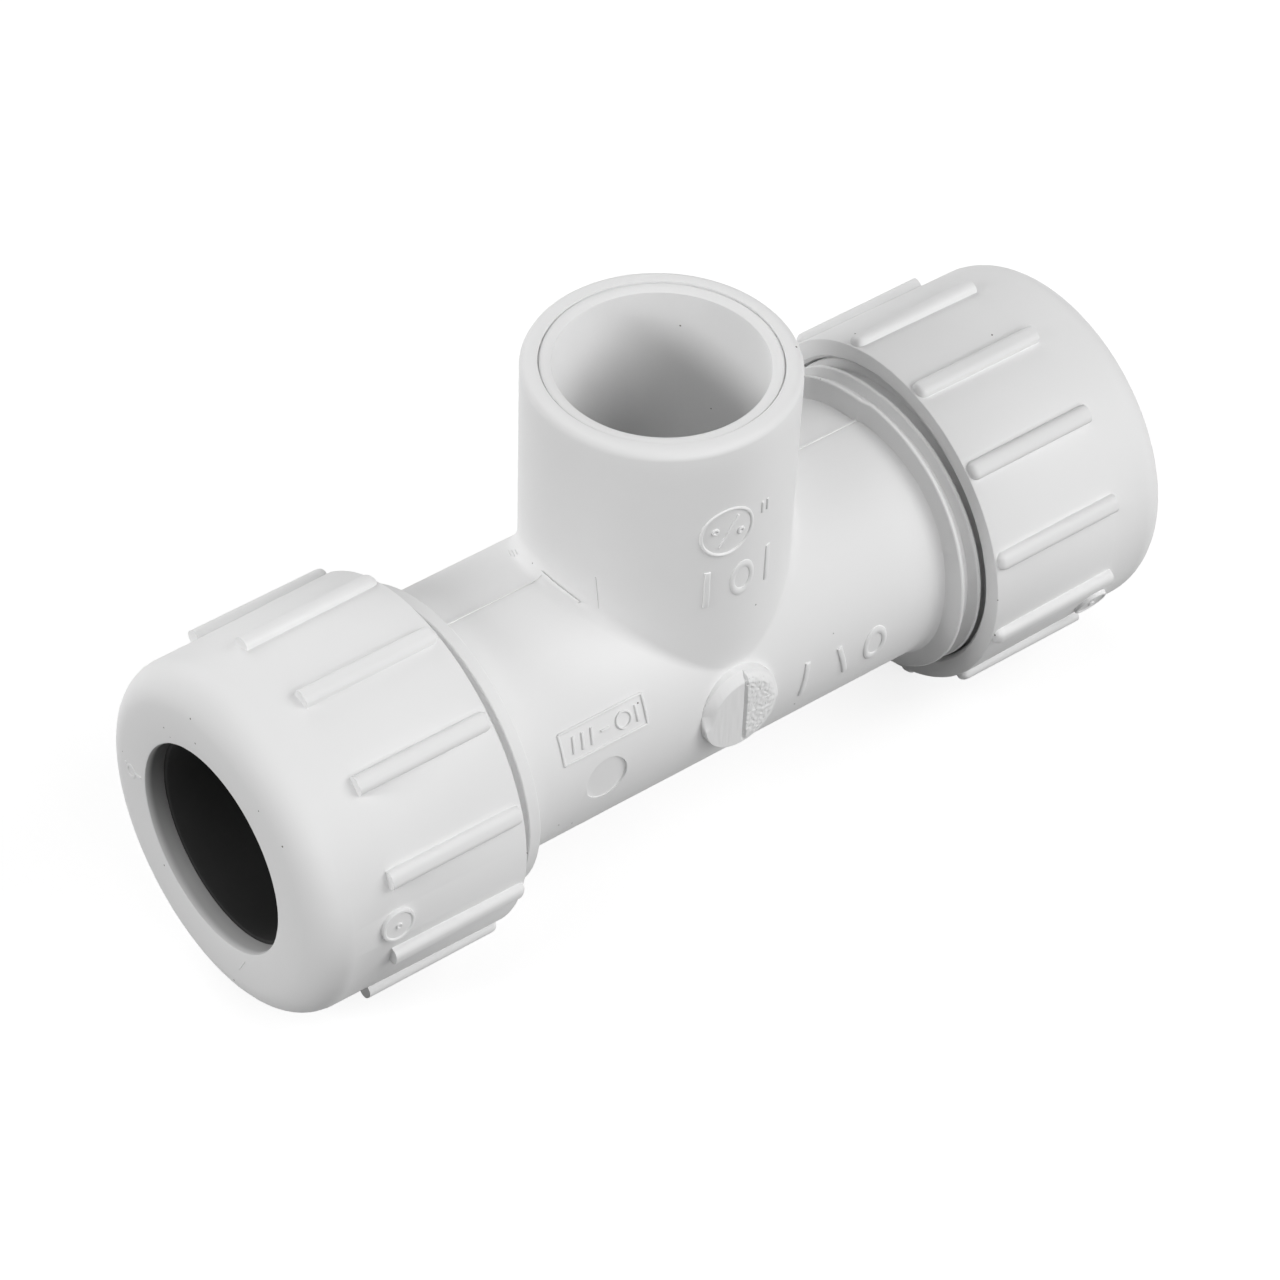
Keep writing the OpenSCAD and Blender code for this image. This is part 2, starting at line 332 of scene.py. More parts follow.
def nextRing(place):
    bpy.ops.mesh.extrude_edges_move()
    layRing(place)


def buildTeeShell():
    t = teeSize
    top = t["branchTop"]
    half = t["halfSteps"]
    bpy.ops.object.select_all(action="DESELECT")
    bpy.ops.mesh.primitive_circle_add(vertices=2 * half + 2, radius=t["runWay"] * mm)
    body = bpy.context.object
    body.name = body.data.name = "teeBody"
    setMode("EDIT")
    mesh = editMesh()
    turns = mesh.verts.layers.float.new("turn")
    tiny = 1e-4    # keeps the two edges of the mould line apart
    for k, vert in enumerate(mesh.verts):
        if k <= half:    # the front half
            vert[turns] = min(-tiny, 180 * k / half - 180)
        else:
            vert[turns] = max(tiny, 180 * (k - half - 1) / half)
    showEdit()
    bpy.ops.mesh.select_all(action="SELECT")
    layRing(lambda turn: insidePlace(turn, 1))
    for share in t["insideRings"]:
        nextRing(lambda turn: insidePlace(turn, share))
    bottom = top - t["socketDepth"]
    way, socket, leadIn, rim = t["branchWay"], t["socketRadius"], t["leadInRadius"], t["rimRadius"]
    mouth, soft = top - t["leadInDepth"], t["stopRound"]
    line = [(way, bottom - soft), (way + soft, bottom), (socket - soft, bottom), (socket, bottom + soft)]
    line += [(socket, top - down) for down in t["socketRings"]]
    line += [(socket, mouth), (socket + 0.12, mouth + 0.1)]
    line += [(leadIn + out, top - down) for out, down in t["leadInGroove"]]
    for radius, z in line:
        nextRing(lambda turn: onBranch(radius, turn, z))
    for k in range(t["rimRings"] + 1):
        lean = radians(90 * k / t["rimRings"])
        radius = t["branchTopRadius"] - rim + rim * sin(lean)
        nextRing(lambda turn: onBranch(radius, turn, top - rim + rim * cos(lean)))
    for down in t["branchRings"]:
        z, step = top - down, t["branchMouldStep"]
        nextRing(lambda turn: onBranch(branchRadius(z) + (step if turn < 0 else 0), turn, z))
    for k in range(t["cornerRings"] + 1):
        nextRing(lambda turn: cornerPlace(turn, k / t["cornerRings"]))
    for k in range(1, t["runRings"] + 1):
        nextRing(lambda turn: outsidePlace(turn, (k / t["runRings"]) ** t["bunching"]))
    closeUp()
    print("shell of the body laid")
    return body


def buildRunEnds():    # carries both ends of the shell out to the mouths and back in to the pipe stops
    t = teeSize
    reach, mouth, stop, socket = t["shellReach"], t["mouth"], t["runStop"], t["runSocket"]
    core = threadSize["crest"] - threadSize["depth"]
    flare, soft, steps = t["flareRound"], t["stopRound"], t["flareSteps"]
    slopes = [radians(t["flareTurn"] * k / steps) for k in range(1, steps + 1)]
    seatEnd = mouth - (t["seatRadius"] - socket) / tan(radians(t["seatAngle"]))
    pick("VERT", lambda v: v.is_boundary and abs(abs(v.co.x) - reach * mm) < 0.02 * mm)
    line = [(reach + flare * sin(a), t["runRadius"] + flare * (1 - cos(a)), 1) for a in slopes]
    line += [(reach + flare, core, 0), (mouth - 0.3, core, 0), (mouth, core - 0.3, 0),
             (mouth, t["seatRadius"], 0), (seatEnd, socket, 0), (seatEnd - 12, socket, 0),
             (stop + soft, socket, 0), (stop, socket - soft, 0), (stop, t["runWay"], 0)]
    for x, radius, share in line:    # the share of the step at the mould line
        bpy.ops.mesh.extrude_edges_move()
        mesh = editMesh()
        turns = mesh.verts.layers.float["turn"]
        for vert in mesh.verts:
            if vert.select:
                end = 1 if abs(vert[turns]) < 90 else -1
                around = ringPlace(vert[turns], 1)[1]
                low = share * (t["runRadius"] - runRadius(vert[turns], around))
                vert.co = onRun(end * x, radius - low, around)
        showEdit()
    closeUp()
    setMode("OBJECT")
    print("ends of the run turned")


def bodyThread(end):
    t = threadSize
    crest, depth, flat, pitch = t["crest"], t["depth"], t["flat"] / 2, t["pitch"]
    cutIn, cutDown = t["crestCut"]
    low = teeSize["runRadius"] - t["sink"]    # the first flank goes down to the tube, and is steep
    deep = crest - depth - t["rootSink"]
    foot = flat + t["lean"] * (crest - deep)
    points = [(-flat - t["firstLean"] * (crest - low), low), (-flat - cutIn, crest - cutDown),
              (-flat + cutIn, crest), (flat - cutIn, crest), (flat + cutIn, crest - cutDown),
              (foot, deep), (foot, low)]
    bar = screwBar("bodyThread", end, points, 0, teeSize["shellReach"] - 2, teeSize["mouth"] - 0.1)
    setMode("EDIT")
    # The front half of the thread steps up at the mould line
    bpy.ops.mesh.bisect(plane_co=fromCrossing(0, -t["seam"] * end, 0), plane_no=(0, 1, 0))
    nearSeam = 0.04
    for vert in editMesh().verts:
        y, z = vert.co.y / mm, (vert.co.z - axisHeight) / mm
        radius, turn = hypot(y, z), degrees(atan2(z, y * end)) % 360    # 90 is the top and 180 the front
        wound = end * (turn - 180) / 360
        number = round((vert.co.x / mm - t["firstCrest"][end]) / pitch - wound)
        if end > 0 and turn < t["swellsTo"]:    # the right end's first turns are uneven
            shift = sum(swell * cos(pi / 2 * min(1, abs(turn - place) / reach)) ** 2
                        for which, swell, place, reach in t["swells"] if which == number)
            if number == 0 and z > 0 and y > -nearSeam:
                shift -= t["setBack"] * min(1, turn / t["setBackRun"])
            vert.co.x += shift * mm
        if end < 0 and number == 0 and radius > crest - 0.2:    # the left end's first crest is broad
            middle = t["firstCrest"][end] + pitch * wound
            side = t["broad"][vert.co.x / mm > middle]
            vert.co.x += side * min(1, turn / t["broadRun"], (360 - turn) / t["broadRun"]) * mm
        if y * end < -nearSeam and radius > crest - depth + 0.3:
            lift = t["frontProud"] / radius * (radius - crest + depth) / depth
            vert.co += Vector((0, y, z)) * mm * lift
    showEdit()
    setMode("OBJECT")
    if end < 0:
        turnAbout(bar, "Z", 180)
    return bar


# Marks on the body: a round insert mark and plain reliefs
markSize = {
    "insertAt": (-20.75, -91.5),    # along the run, and the turn from straight up
    "insertRadius": 3.15,
    "insertFace": 17.7,
    "frame": (-20.6, -68.2, 12.8, 4.3),    # along the run, turn, length and height
    "line": 0.36,    # width of the frame's raised line
    "relief": 0.24,    # how far a relief stands out
    "sink": 0.3,    # and how far it goes down into the wall
}


def wrap(piece, place):    # lays a flat relief on a wall: x to the right, y up, z outwards
    for vert in piece.data.vertices:
        vert.co = place(vert.co.x / mm, vert.co.y / mm, vert.co.z / mm)
    return piece


def onFront(x, turn):    # a place on the front of the run
    radius = teeSize["runRadius"]
    return lambda u, v, h: onRun(x + u, radius + h, turn + degrees(v / radius))


def onTower(turn, z):    # a place on the front of the branch
    return lambda u, v, h: onBranch(branchRadius(z) + h, turn + degrees(u / branchRadius(z)), z + v)


def plainBar(u, v, length, width, lean, place, height=markSize["relief"]):    # upright at lean 0
    sink = markSize["sink"]
    bpy.ops.object.select_all(action="DESELECT")
    bpy.ops.mesh.primitive_cube_add(size=1, scale=(width * mm, length * mm, (sink + height) * mm),
                                    rotation=(0, 0, -radians(lean)),
                                    location=(u * mm, v * mm, (height - sink) / 2 * mm))
    bpy.ops.object.transform_apply()
    bar = bpy.context.object
    setMode("EDIT")
    along = Vector((sin(radians(lean)), cos(radians(lean)), 0))
    for part in (-0.3, -0.1, 0.1, 0.3):    # cut across, so that it follows the curve
        bpy.ops.mesh.select_all(action="SELECT")
        bpy.ops.mesh.bisect(plane_co=Vector((u, v, 0)) * mm + along * part * length * mm, plane_no=along)
    top = (height - 0.01) * mm
    pick("EDGE", lambda e: all(v.co.z > top for v in e.verts) and len(e.link_faces) == 2
         and any(abs(f.normal.z) < 0.5 for f in e.link_faces))
    bpy.ops.mesh.bevel(offset=min(0.2, width * 0.4) * mm, segments=3, affect="EDGES", clamp_overlap=True)
    setMode("OBJECT")
    return wrap(bar, place)


def plainRing(u, v, radius, width, tall, place, height=markSize["relief"]):    # stretched upwards by tall
    bpy.ops.object.select_all(action="DESELECT")
    bpy.ops.mesh.primitive_torus_add(major_segments=40, minor_segments=12, major_radius=radius * mm,
                                     minor_radius=width / 2 * mm, location=(u * mm, v * mm, 0))
    ring = bpy.context.object
    bpy.ops.transform.resize(value=(1, tall, 2 * height / width))
    bpy.ops.object.transform_apply()
    return wrap(ring, place)


# A place, its bars (across, up, length, width, lean) and its rings (across, up, radius, width, tall)
markGroups = (
    (onFront(-20.6, -68.2), ((-4.6, 0, 2.3, 0.4, 8), (-3.2, 0, 2.3, 0.4, 8), (-1.8, 0, 2.3, 0.4, 8),
                             (0.2, 0, 1.3, 0.3, 90), (5.1, 0, 2.3, 0.35, 0)), ((3.1, 0, 1.1, 0.35, 1.0),)),
    (onFront(16.6, -94.5), ((-5.9, 0, 5.6, 0.8, 6), (0.2, 0, 5.4, 0.8, -16)), ((5.5, 0, 1.5, 0.8, 1.55),)),
    (onTower(-98.6, 30.1), ((0.2, 0, 5.2, 0.45, 28),),
     ((0, 0, 3.6, 0.5, 1.0), (-1.7, 0.5, 0.35, 0.4, 1.0), (1.9, -0.5, 0.35, 0.4, 1.0))),
    (onTower(-91, 21.3), ((-4.7, 0, 5.8, 0.8, 0), (4.6, 0, 5.8, 0.8, 0)), ((0.3, 0, 1.5, 0.8, 1.5),)),
    (onTower(-79.5, 31.4), ((-0.45, 0, 1.7, 0.35, 0), (0.45, 0, 1.7, 0.35, 0)), ()),
)


def plainMarks():
    x, turn, length, height = markSize["frame"]
    line, front = markSize["line"], onFront(x, turn)
    marks = []
    for side in (-1, 1):
        marks.append(plainBar(0, side * height / 2, length, line, 90, front))
        for part in (-1, 0, 1):    # short pieces, so that they follow the curve
            marks.append(plainBar(side * length / 2, part * height / 3, height / 3 + 0.1, line, 0, front))
    for place, bars, rings in markGroups:
        marks += [plainBar(*bar, place) for bar in bars] + [plainRing(*ring, place) for ring in rings]
    return marks


# The stub of a cut-off sprue: one half is sheared smooth and the other broken rough
stubSize = {
    "at": (-0.2, 0.3),    # along the run, and above its axis
    "radius": 5.75,
    "face": 19.0,    # distance of the cut face from the run's axis
    "groove": 0.4,    # from the stub's middle
    "grooveHalf": 0.16,
    "grooveDepth": 0.3,
    "grains": ((2.4, 1, 3.0), (5.6, 0.8, 7.0)),    # how fine, how strong, and a place in the noise
    "rough": 0.12,
    "proud": 0.22,    # of the rough half
    "streak": 0.03,
    "streaks": (2.6, 0.25),    # how fine they are across and along
    "plainRim": (0.25, 0.5),    # the rim stays plain, and the grain grows inside it
    "bevel": 1.25,    # the upper edge is cut back over this width
    "cutBack": (0.85, 0.595),    # by this much on the smooth half, and on the rough one
    "edge": (0.12, 1.022),    # how far the rim drops, and how far it spreads
    "deep": 5,    # how far the stub goes down into the body
    "steps": 72,
}


def gateStub():
    s = stubSize
    radius, bevel, atX, atZ = s["radius"], s["bevel"], *s["at"]
    rim, grow = s["plainRim"]
    streakX, streakY = s["streaks"]
    drop, spread = s["edge"]
    bpy.ops.object.select_all(action="DESELECT")
    bpy.ops.mesh.primitive_grid_add(x_subdivisions=s["steps"], y_subdivisions=s["steps"], size=2)
    stub = bpy.context.object
    setMode("EDIT")
    for vert in editMesh().verts:    # the square grid is drawn out to a disc
        u, v = vert.co.x, vert.co.y
        u, v = u * sqrt(1 - v * v / 2) * radius, v * sqrt(1 - u * u / 2) * radius
        away = u - s["groove"]
        inner = min(1, max(0, (radius - rim - hypot(u, v)) / grow))
        if away > 0:
            grain = sum(share * noise.noise(Vector((u * fine, v * fine, at)))
                        for fine, share, at in s["grains"])
            out = (s["rough"] * grain + s["proud"]) * inner
        else:
            out = s["streak"] * noise.noise(Vector((u * streakX, v * streakY, 1.0))) * inner
        if abs(away) < s["grooveHalf"]:
            out -= s["grooveDepth"] * inner
        edge = max(0, (hypot(u, v) - radius + bevel) / bevel)
        out -= s["cutBack"][away >= 0] * edge * max(0, min(1, v / 2 + 0.4))
        vert.co = Vector((u, v, out)) * mm
    showEdit()
    pick("EDGE", lambda e: e.is_boundary)
    bpy.ops.mesh.extrude_edges_move(TRANSFORM_OT_translate={"value": (0, 0, -drop * mm)})
    bpy.ops.transform.resize(value=(spread, spread, 1))
    bpy.ops.mesh.extrude_edges_move(TRANSFORM_OT_translate={"value": (0, 0, -s["deep"] * mm)})
    bpy.ops.mesh.fill_holes(sides=0)
    closeUp()
    setMode("OBJECT")
    return wrap(stub, lambda u, v, h: fromCrossing(atX + u, -s["face"] - h, atZ + v))


def insertTool():    # the round insert that left a flat spot
    m = markSize
    x, turn = m["insertAt"]
    lean = Matrix.Rotation(radians(-turn), 3, "X")
    bpy.ops.object.select_all(action="DESELECT")
    bpy.ops.mesh.primitive_cylinder_add(vertices=64, radius=m["insertRadius"] * mm, depth=4 * mm)
    return wrap(bpy.context.object, lambda u, v, h: fromCrossing(x, 0, 0)
                + lean @ Vector((u, v, m["insertFace"] + 2 + h)) * mm)


# Thin flash at the mould line and at the foot of the branch, and lines where the mould dragged
lineSize = {
    "runs": ((-33.2, -18.9), (18.9, 33.2)),    # along the top of the run
    "flash": (0.3, 0.22),    # width and thickness
    "cornerFlash": 0.16,
    "foot": (-180, -156, 2),    # turns round the branch
    "footShare": 0.45,    # of the corner between the branch and the run
    "footFlash": 0.26,
    "footAcross": (-0.32, 0, 0.25),
    "scratch": (22.5, 21, 19.5, 18, 17),    # heights on the branch
    "scratchTurn": -153.3,
    "scratchLean": 0.33,
    "scratchAcross": (-0.1, -0.03, 0),
    "drags": ((152, 159, 0.95), (154, 161, 0.8), (156, 161, 0.65)),    # turns, and the share of the corner
    "dragAcross": (-0.14, 0, 0.03),
    "thin": 0.1,
}


def mouldLines():
    s, seam = lineSize, threadSize["seam"]
    across = Vector((0, -s["flash"][0] * mm, 0))
    high = teeSize["runRadius"] + 0.02
    lines = []
    for first, last in s["runs"]:
        path = [fromCrossing(x, seam, high) for x in (first, (first + last) / 2, last)]
        lines.append(ribbon("flash", path, across, s["flash"][1]))
    path = [cornerPlace(-180, k / 10) + Vector((0, seam, 0.02)) * mm for k in range(10, 3, -1)]
    lines.append(ribbon("flash", path, across, s["cornerFlash"]))
    path = [cornerPlace(turn, s["footShare"]) + Vector((0, 0, 0.03 * mm)) for turn in range(*s["foot"])]
    lines.append(ribbon("flash", path, Vector(s["footAcross"]) * mm, s["footFlash"]))
    path = [onBranch(branchRadius(z), s["scratchTurn"] + (s["scratch"][0] - z) * s["scratchLean"], z)
            for z in s["scratch"]]
    lines.append(ribbon("scratch", path, Vector(s["scratchAcross"]) * mm, s["thin"]))
    for first, last, share in s["drags"]:
        path = [cornerPlace(turn, share) + Vector((0, 0, 0.02 * mm)) for turn in range(first, last)]
        lines.append(ribbon("drag", path, Vector(s["dragAcross"]) * mm, s["thin"]))
    return lines


def buildBody():
    body = buildTeeShell()
    buildRunEnds()
    for end in (1, -1):
        combine(body, bodyThread(end), "UNION")
    combine(body, insertTool(), "DIFFERENCE")
    combine(body, gateStub(), "UNION")
    print("body threaded")
    joinTo(body, plainMarks() + mouldLines())
    smooth(body, 32)
    print("body marked")
    return body


# Nuts: one sector with its rib is modelled, repeated round the axis, and threaded inside
nutSize = {
    "openEnd": nutLow.x / mm,    # distance from the crossing
    "length": (nutHigh.x - nutLow.x) / mm,
    "skirtRadius": 23.9,
    "frontRadius": 23.57,
    "noseRadius": 4.7,
    "holeRadius": 14.03,
    "faceWall": 2.8,
    "pocketRadius": 18.2,
    "pocketLength": 4.8,
    "boreRadius": 21.12,
    "leadOut": 0.5,
    "ribs": 12,
    "ribLength": 19.9,
    "ribWidth": 2.5,
    "ribTop": 24.9,
    "ribClock": 12,    # degrees from straight up to the nearest rib, towards the front
    "ribRound": 0.95,
    "ribFoot": 0.36,
    "ribRaise": 0.9,
    "outside": 22,    # faces farther out than this are the nut's outside
    "footAt": (23.8, 0.25),    # where the rib's foot is, and how far it may be from there
    "threadTurns": 4,
    "gateAt": 19.3,
    "gateClock": {1: 117, -1: 89},
    "gateRadius": 2.4,
    "gateHeight": 0.55,
    "gateSunk": 3,    # length of the gate's disc, most of it in the wall
    "gateSoft": 0.15,
    # Width and step of each ring of the gate's disc
    "gateRings": ((0.35, 0), (0.2, -0.15), (1.35, 0.02), (0.1, 0.22), (0.15, 0), (0.08, -0.2)),
    # Marks on the face, as in the groups above, with the height at the end
    "faceRings": ((-17.0, -0.3, 0.8, 0.45, 1.1, 0.12), (-18.1, 0.4, 0.12, 0.3, 1.0, 0.1)),
    "faceBars": ((-15.5, 0.1, 1.6, 0.4, 80, 0.12), (6.3, -15.0, 2.7, 0.16, 29, 0.07)),
}


def nutProfile():
    n = nutSize
    length, nose, hole, ribEnd = n["length"], n["noseRadius"], n["holeRadius"], n["ribLength"]
    skirt, bore, pocket, leadOut = n["skirtRadius"], n["boreRadius"], n["pocketRadius"], n["leadOut"]
    back = length - n["faceWall"]
    seat = back - n["pocketLength"]
    mouldLine = skirt + (n["frontRadius"] - skirt) / (length - nose) * ribEnd
    return ([(0, bore + leadOut), (0, skirt - 0.3), (0.08, skirt - 0.1), (0.28, skirt),
             (ribEnd, mouldLine), (ribEnd + 0.1, mouldLine - 0.05)]
            + arc(length - nose, n["frontRadius"] - nose, nose, 0, 90, 14)
            + [(length, hole + 0.35), (length - 0.08, hole + 0.12), (length - 0.3, hole), (back, hole),
               (back, pocket), (seat, pocket), (seat, bore), (leadOut, bore)])


def buildNutShell(end):
    n = nutSize
    sector = 360 / n["ribs"]
    ribSpan = degrees(n["ribWidth"] / n["skirtRadius"])
    clock = -end * n["ribClock"]
    points = nutProfile()
    start = clock - sector / 2
    nut = drawLine("nutSector", [onRun(x, radius, start) for x, radius in points + points[:1]])
    bpy.ops.mesh.select_all(action="SELECT")
    for steps, span in ((8, (sector - ribSpan) / 2), (1, ribSpan), (8, (sector - ribSpan) / 2)):
        bpy.ops.mesh.spin(steps=steps, angle=radians(span), center=fromCrossing(0, 0, 0), axis=(1, 0, 0))
    closeUp()
    middle = onRun(0, 1, clock) - fromCrossing(0, 0, 0)

    def fromAxis(place):
        return Vector((0, place.y, place.z - axisHeight))

    def inRib(face):    # the one strip of the skirt that carries the rib
        centre = face.calc_center_median()
        away = fromAxis(centre)
        side = degrees(away.angle(middle))
        return (side < ribSpan / 2 and away.length > n["outside"] * mm
                and 0.3 * mm < centre.x < n["ribLength"] * mm)

    pick("FACE", inRib)
    bpy.ops.mesh.extrude_region_shrink_fatten(TRANSFORM_OT_shrink_fatten={"value": n["ribRaise"] * mm})
    for vert in editMesh().verts:    # the rib's top is level with the axis
        if vert.select:
            away = fromAxis(vert.co)
            out = away * (n["ribTop"] * mm / cos(radians(ribSpan / 2)) / away.length)
            vert.co = Vector((vert.co.x, out.y, out.z + axisHeight))
    showEdit()

    def crest(edge):    # all edges of the rib's top but the front one, and the upright edges at its rear
        heights = [fromAxis(v.co).length / mm for v in edge.verts]
        if max(heights) < n["ribTop"] - 0.05:
            return False
        if min(heights) < n["ribTop"] - 0.05:
            return all(v.co.x < 0.5 * mm for v in edge.verts)
        return not all(v.co.x > (n["ribLength"] - 0.1) * mm for v in edge.verts)

    pick("EDGE", crest)
    bpy.ops.mesh.bevel(offset=n["ribRound"] * mm, segments=5, affect="EDGES", clamp_overlap=True)

    footRadius, footReach = n["footAt"]

    def foot(edge):    # where the rib's sides meet the skirt
        lengthwise = abs(edge.verts[0].co.x - edge.verts[1].co.x) > 10 * mm
        return lengthwise and len(edge.link_faces) == 2 and all(
            abs(degrees(tip.angle(middle)) - ribSpan / 2) < 0.05
            and abs(tip.length - footRadius * mm) < footReach * mm
            for tip in (fromAxis(v.co) for v in edge.verts))

    pick("EDGE", foot)
    bpy.ops.mesh.bevel(offset=n["ribFoot"] * mm, segments=2, affect="EDGES", clamp_overlap=True)
    bpy.ops.mesh.select_all(action="SELECT")
    bpy.ops.mesh.spin(steps=n["ribs"] - 1, angle=radians(360 - sector), dupli=True,
                      center=fromCrossing(0, 0, 0), axis=(1, 0, 0))
    closeUp()
    setMode("OBJECT")
    nut.data.transform(Matrix.Translation((n["openEnd"] * mm, 0, 0)))
    return nut


def nutThread(end):
    n, t = nutSize, threadSize
    play, pitch = t["play"], t["pitch"]
    minor, major = t["crest"] - t["depth"] + play, t["crest"] + play
    flank = pitch / 2 - t["flat"]
    tip = pitch / 2 - (t["flat"] + play) / 2 - flank
    root = n["boreRadius"] + 0.5
    points = [(-tip - flank, root), (-tip - flank, major), (-tip, minor),
              (tip, minor), (tip + flank, major), (tip + flank, root)]
    first = n["openEnd"] + n["leadOut"]
    return screwBar("nutThread", end, points, pitch / 2, first, first + n["threadTurns"] * pitch)


def gateMark(end):    # the round mark left by the mould's gate
    n = nutSize
    clock = -end * n["gateClock"][end]
    height, sunk = n["frontRadius"] + n["gateHeight"], n["gateSunk"]
    bpy.ops.object.select_all(action="DESELECT")
    bpy.ops.mesh.primitive_cylinder_add(vertices=40, radius=n["gateRadius"] * mm, depth=sunk * mm,
                                        location=(0, 0, (height - sunk / 2) * mm), end_fill_type="NGON")
    bpy.ops.object.transform_apply()
    mark = bpy.context.object
    setMode("EDIT")
    top = height * mm
    pick("FACE", lambda f: f.normal.z > 0.9 and f.calc_center_median().z > top - 0.1 * mm)
    for thickness, depth in n["gateRings"]:
        bpy.ops.mesh.inset(thickness=thickness * mm, depth=depth * mm)
    rim = (n["gateRadius"] - 0.05) * mm
    pick("EDGE", lambda e: all(v.co.z > top - 0.01 * mm and hypot(v.co.x, v.co.y) > rim for v in e.verts))
    bpy.ops.mesh.bevel(offset=n["gateSoft"] * mm, segments=2, affect="EDGES")
    setMode("OBJECT")
    mark.data.transform(Matrix.Rotation(radians(-clock), 4, "X"))
    mark.data.transform(Matrix.Translation(((n["openEnd"] + n["gateAt"]) * mm, 0, axisHeight)))
    return mark


def faceMarks():    # a plain mark and a drag line on the flat face
    n = nutSize
    front = n["openEnd"] + n["length"]
    place = lambda u, v, h: fromCrossing(front + h, u, v)
    return ([plainRing(*ring, place, height) for *ring, height in n["faceRings"]]
            + [plainBar(*bar, place, height) for *bar, height in n["faceBars"]])


def buildNut(name, end):
    nut = buildNutShell(end)
    nut.name = nut.data.name = name
    combine(nut, gateMark(end), "UNION")
    combine(nut, nutThread(end), "UNION")
    joinTo(nut, faceMarks())
    if end < 0:
        turnAbout(nut, "Z", 180)
    smooth(nut, 32)
    print(name, "built")
    return nut


# Gaskets: turned rubber rings with a conical nose
gasketSize = {
    "boreRadius": 13.535,
    "outerRadius": (gasketHigh.y - gasketLow.y) / 2 / mm,
    "noseWall": 0.8,
    "seatAngle": 20,
    "tip": gasketLow.x / mm,
    "back": gasketHigh.x / mm,
    "edge": 0.6,
    "steps": 128,
}


def buildGasket(name, end):
    g = gasketSize
    bore, outer, tip, back, edge = g["boreRadius"], g["outerRadius"], g["tip"], g["back"], g["edge"]
    nose = bore + g["noseWall"]
    shoulder = tip + (outer - nose) / tan(radians(g["seatAngle"]))
    points = [(tip, bore + 0.15), (tip, nose - 0.1), (tip + 0.1, nose),
              (shoulder - 0.1, outer - 0.06), (shoulder + 0.1, outer)]
    points += arc(back - edge, outer - edge, edge, 0, 90, 5)
    points += [(back, bore + 0.3), (back - 0.1, bore + 0.08), (back - 0.3, bore), (tip + 0.15, bore)]
    ring = drawLine(name, [onRun(x, radius, 0) for x, radius in points + points[:1]])
    bpy.ops.mesh.select_all(action="SELECT")
    bpy.ops.mesh.spin(steps=g["steps"], angle=2 * pi, center=fromCrossing(0, 0, 0), axis=(1, 0, 0))
    closeUp()
    setMode("OBJECT")
    if end < 0:
        turnAbout(ring, "Z", 180)
    smooth(ring, 40)
    return ring


# Materials
def nodeOf(tree, kind, at, *feeds, **values):    # feeds are numbers or links for the first inputs
    node = tree.nodes.new(kind)
    node.location = at
    for key, value in values.items():
        if key in node.inputs:
            node.inputs[key].default_value = value
        else:
            setattr(node, key, value)
    for socket, feed in zip(node.inputs, feeds):
        if isinstance(feed, bpy.types.NodeSocket):
            tree.links.new(feed, socket)
        else:
            socket.default_value = feed
    return node


def mathOf(tree, operation, at, *feeds):
    return nodeOf(tree, "ShaderNodeMath", at, *feeds, operation=operation).outputs[0]


def mixOf(tree, at, share, first, second):    # a colour that goes from a linked one to a fixed one
    mix = nodeOf(tree, "ShaderNodeMix", at, share, data_type="RGBA")
    tree.links.new(first, mix.inputs[6])
    mix.inputs[7].default_value = second
    return mix.outputs[2]


surfaceSize = {
    "cloudScale": 55.0,
    "speckScale": 400.0,
    "speckSize": 0.05,
    "speckColour": (0.12, 0.11, 0.1, 1),
    "grainScale": 900.0,
    "grainRough": 0.12,    # how much the grain changes the roughness
    "grainHeight": 0.25,
    "waveScale": 140.0,
}


